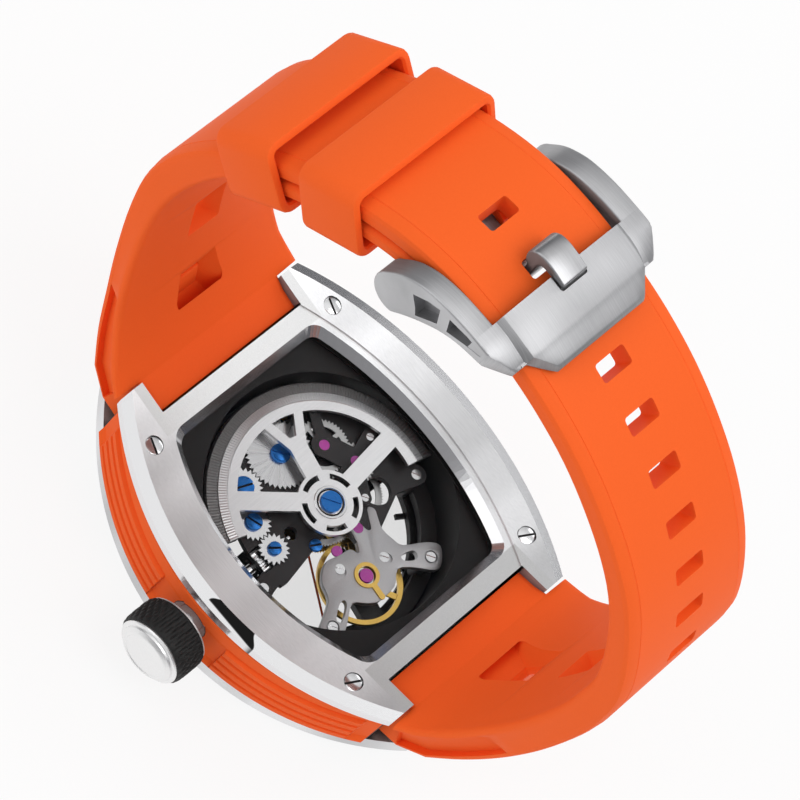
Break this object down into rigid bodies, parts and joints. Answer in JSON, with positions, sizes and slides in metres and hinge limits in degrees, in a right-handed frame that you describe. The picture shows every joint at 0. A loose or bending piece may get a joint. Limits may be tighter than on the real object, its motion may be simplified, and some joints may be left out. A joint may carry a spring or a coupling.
{
  "type": "automatic wristwatch",
  "caption": "Automatic skeleton wristwatch with a barrel-shaped case, a winding rotor behind a back window, and a closed rubber strap with keepers and a pin buckle.",
  "frame": {"origin": "centre of the flat front crystal's outer face", "axes": "+Z from the dial side through the back cover towards the wrist; -Y out along the crown; +X towards the end of the case that carries the holed strap"},
  "size_m": [0.0741, 0.0495, 0.0782],
  "materials": {
    "steel_brushed": "brushed",
    "steel_polished": "polished",
    "steel_blasted": "fine blasted",
    "steel_dark": "satin black coating",
    "bridge_black": "brushed black coating",
    "bridge_grey": "fine grained",
    "tungsten": "ribbed satin",
    "blue_steel": "polished, blued",
    "gold_plate": "satin, gilt",
    "ruby": "polished",
    "crystal": "polished",
    "rubber_orange": "matte",
    "rubber_black": "matte",
    "hand_white": "satin",
    "hand_orange": "satin"
  },
  "bodies": {
    "case": {"front_bezel": "steel_brushed", "front_crystal": "crystal", "chapter_ring": "steel_dark", "case_middle": "steel_dark", "case_bands": "rubber_orange", "back_cover": "steel_brushed", "back_crystal": "crystal", "crystal_gaskets": "rubber_black", "back_screws": "steel_polished", "crown_tube": "steel_polished", "movement_holder": "steel_dark", "lug_bars": "steel_polished", "strap_long": "rubber_orange", "strap_short": "rubber_orange", "keeper_fixed": "rubber_orange", "mainplate": "bridge_black", "barrel_bridge": "bridge_black", "train_bridge": "bridge_black", "auto_bridge": "bridge_black", "balance_bridge": "bridge_grey", "jewels": "ruby", "blue_screws": "blue_steel", "bridge_screws": "steel_polished", "regulator": "gold_plate", "rotor_post": "blue_steel"},
    "keyless_pinion": {"winding_pinion": "steel_polished"},
    "crown": {"crown_cap": "steel_brushed", "crown_grip": "rubber_black", "winding_stem": "steel_polished"},
    "clutch": {"sliding_clutch": "steel_polished"},
    "crown_gear": {"crown_wheel": "steel_polished"},
    "idler_gear_a": {"winding_idler_a": "steel_polished"},
    "idler_gear_b": {"winding_idler_b": "steel_polished"},
    "ratchet": {"ratchet_wheel": "steel_polished", "barrel_arbor": "blue_steel"},
    "reduction": {"reduction_wheel": "steel_polished"},
    "reverser_low": {"reverser_pinion": "steel_polished"},
    "rotor": {"rotor_plate": "steel_brushed", "rotor_weight": "tungsten"},
    "rotor_gear": {"rotor_idler": "steel_polished"},
    "reverser_high": {"reverser_wheel": "steel_polished"},
    "spring_barrel": {"barrel": "gold_plate", "mainspring": "blue_steel"},
    "centre_train": {"centre_wheel": "gold_plate", "cannon_pinion": "steel_polished", "minute_hand": "hand_white"},
    "third_train": {"third_wheel": "steel_polished"},
    "fourth_train": {"fourth_wheel": "steel_polished", "second_hand": "hand_orange"},
    "escape_train": {"escape_wheel": "steel_polished"},
    "lever": {"pallet_fork": "steel_polished"},
    "balance": {"balance_wheel": "gold_plate", "hairspring": "blue_steel"},
    "minute_train": {"minute_wheel": "gold_plate"},
    "hour_train": {"hour_wheel": "gold_plate", "hour_hand": "hand_white"},
    "buckle": {"buckle_frame": "steel_brushed", "buckle_bar": "steel_polished"},
    "tang": {"buckle_tang": "steel_brushed"},
    "free_keeper": {"keeper_free": "rubber_orange"}
  },
  "joints": [
    {"name": "crown_turn", "type": "hinge", "parent": "case", "child": "keyless_pinion", "pos_m": [0, -0.0098, 0.007], "axis": [0, -1, 0], "continuous": true},
    {"name": "crown_pull", "type": "slide", "parent": "keyless_pinion", "child": "crown", "axis": [0, -1, 0], "range_m": [0, 0.0015]},
    {"name": "clutch_shift", "type": "slide", "parent": "keyless_pinion", "child": "clutch", "axis": [0, 1, 0], "range_m": [0, 0.0006]},
    {"name": "crown_wheel_turn", "type": "hinge", "parent": "case", "child": "crown_gear", "pos_m": [0, -0.0082, 0.0085], "axis": [0, 0, 1], "continuous": true},
    {"name": "idler_a_turn", "type": "hinge", "parent": "case", "child": "idler_gear_a", "pos_m": [-0.0037, -0.00806, 0.0085], "axis": [0, 0, 1], "continuous": true},
    {"name": "idler_b_turn", "type": "hinge", "parent": "case", "child": "idler_gear_b", "pos_m": [-0.00743, -0.00617, 0.0085], "axis": [0, 0, 1], "continuous": true},
    {"name": "ratchet_turn", "type": "hinge", "parent": "case", "child": "ratchet", "pos_m": [-0.00775, 0, 0.0085], "axis": [0, 0, 1], "continuous": true},
    {"name": "reduction_turn", "type": "hinge", "parent": "case", "child": "reduction", "pos_m": [-0.00541, 0.00467, 0.0085], "axis": [0, 0, 1], "continuous": true},
    {"name": "reverser_pinion_turn", "type": "hinge", "parent": "case", "child": "reverser_low", "pos_m": [-0.00181, 0.00643, 0.0085], "axis": [0, 0, 1], "continuous": true},
    {"name": "rotor_turn", "type": "hinge", "parent": "case", "child": "rotor", "pos_m": [0, 0, 0.01], "axis": [0, 0, 1], "continuous": true},
    {"name": "rotor_idler_turn", "type": "hinge", "parent": "case", "child": "rotor_gear", "pos_m": [-0.00079, 0.00282, 0.0085], "axis": [0, 0, 1], "continuous": true},
    {"name": "reverser_wheel_turn", "type": "hinge", "parent": "case", "child": "reverser_high", "pos_m": [-0.00181, 0.00643, 0.0085], "axis": [0, 0, 1], "continuous": true},
    {"name": "seconds_turn", "type": "hinge", "parent": "case", "child": "fourth_train", "pos_m": [0, 0, 0.007], "axis": [0, 0, 1], "continuous": true},
    {"name": "third_turn", "type": "hinge", "parent": "case", "child": "third_train", "pos_m": [0.00039, 0.00448, 0.007], "axis": [0, 0, 1], "continuous": true},
    {"name": "minutes_turn", "type": "hinge", "parent": "case", "child": "centre_train", "pos_m": [0, 0, 0.005], "axis": [0, 0, 1], "continuous": true},
    {"name": "barrel_turn", "type": "hinge", "parent": "case", "child": "spring_barrel", "pos_m": [-0.00775, 0, 0.006], "axis": [0, 0, 1], "continuous": true},
    {"name": "minute_wheel_turn", "type": "hinge", "parent": "case", "child": "minute_train", "pos_m": [-0.00255, -0.00255, 0.003], "axis": [0, 0, 1], "continuous": true},
    {"name": "hours_turn", "type": "hinge", "parent": "case", "child": "hour_train", "pos_m": [0, 0, 0.003], "axis": [0, 0, 1], "continuous": true},
    {"name": "escape_turn", "type": "hinge", "parent": "case", "child": "escape_train", "pos_m": [0.00405, 0.0017, 0.006], "axis": [0, 0, 1], "continuous": true},
    {"name": "pallet_rock", "type": "hinge", "parent": "case", "child": "lever", "pos_m": [0.0061, 0.00036, 0.0055], "axis": [0, 0, 1], "range_deg": [-6, 6]},
    {"name": "balance_swing", "type": "hinge", "parent": "case", "child": "balance", "pos_m": [0.0087, -0.00135, 0.0062], "axis": [0, 0, 1], "range_deg": [-270, 270], "stiffness_Nm_per_rad": 0.0000008},
    {"name": "buckle_lift", "type": "hinge", "parent": "case", "child": "buckle", "pos_m": [-0.0098, 0, 0.0694], "axis": [0, -1, 0], "range_deg": [0, 2]},
    {"name": "tang_lift", "type": "hinge", "parent": "buckle", "child": "tang", "pos_m": [-0.0098, 0, 0.0694], "axis": [0, -1, 0], "range_deg": [0, 2]},
    {"name": "keeper_slide", "type": "hinge", "parent": "case", "child": "free_keeper", "pos_m": [-0.00193, 0, 0.03311], "axis": [0, 1, 0], "range_deg": [0, 3]}
  ],
  "couplings": [
    {"joint": "clutch_shift", "follows": "crown_pull", "ratio": 0.4},
    {"joint": "crown_wheel_turn", "follows": "crown_turn", "ratio": -1},
    {"joint": "idler_a_turn", "follows": "crown_turn", "ratio": 0.85714},
    {"joint": "idler_b_turn", "follows": "crown_turn", "ratio": -0.78261},
    {"joint": "ratchet_turn", "follows": "crown_turn", "ratio": 0.42857},
    {"joint": "reduction_turn", "follows": "crown_turn", "ratio": -1.3846},
    {"joint": "reverser_pinion_turn", "follows": "crown_turn", "ratio": 5.3077},
    {"joint": "rotor_idler_turn", "follows": "rotor_turn", "ratio": -1.1667},
    {"joint": "reverser_wheel_turn", "follows": "rotor_turn", "ratio": 0.65625},
    {"joint": "third_turn", "follows": "seconds_turn", "ratio": -0.13333},
    {"joint": "minutes_turn", "follows": "seconds_turn", "ratio": 0.016667},
    {"joint": "barrel_turn", "follows": "seconds_turn", "ratio": -0.0027778},
    {"joint": "minute_wheel_turn", "follows": "seconds_turn", "ratio": -0.0055556},
    {"joint": "hours_turn", "follows": "seconds_turn", "ratio": 0.0013889},
    {"joint": "escape_turn", "follows": "seconds_turn", "ratio": -9}
  ]
}
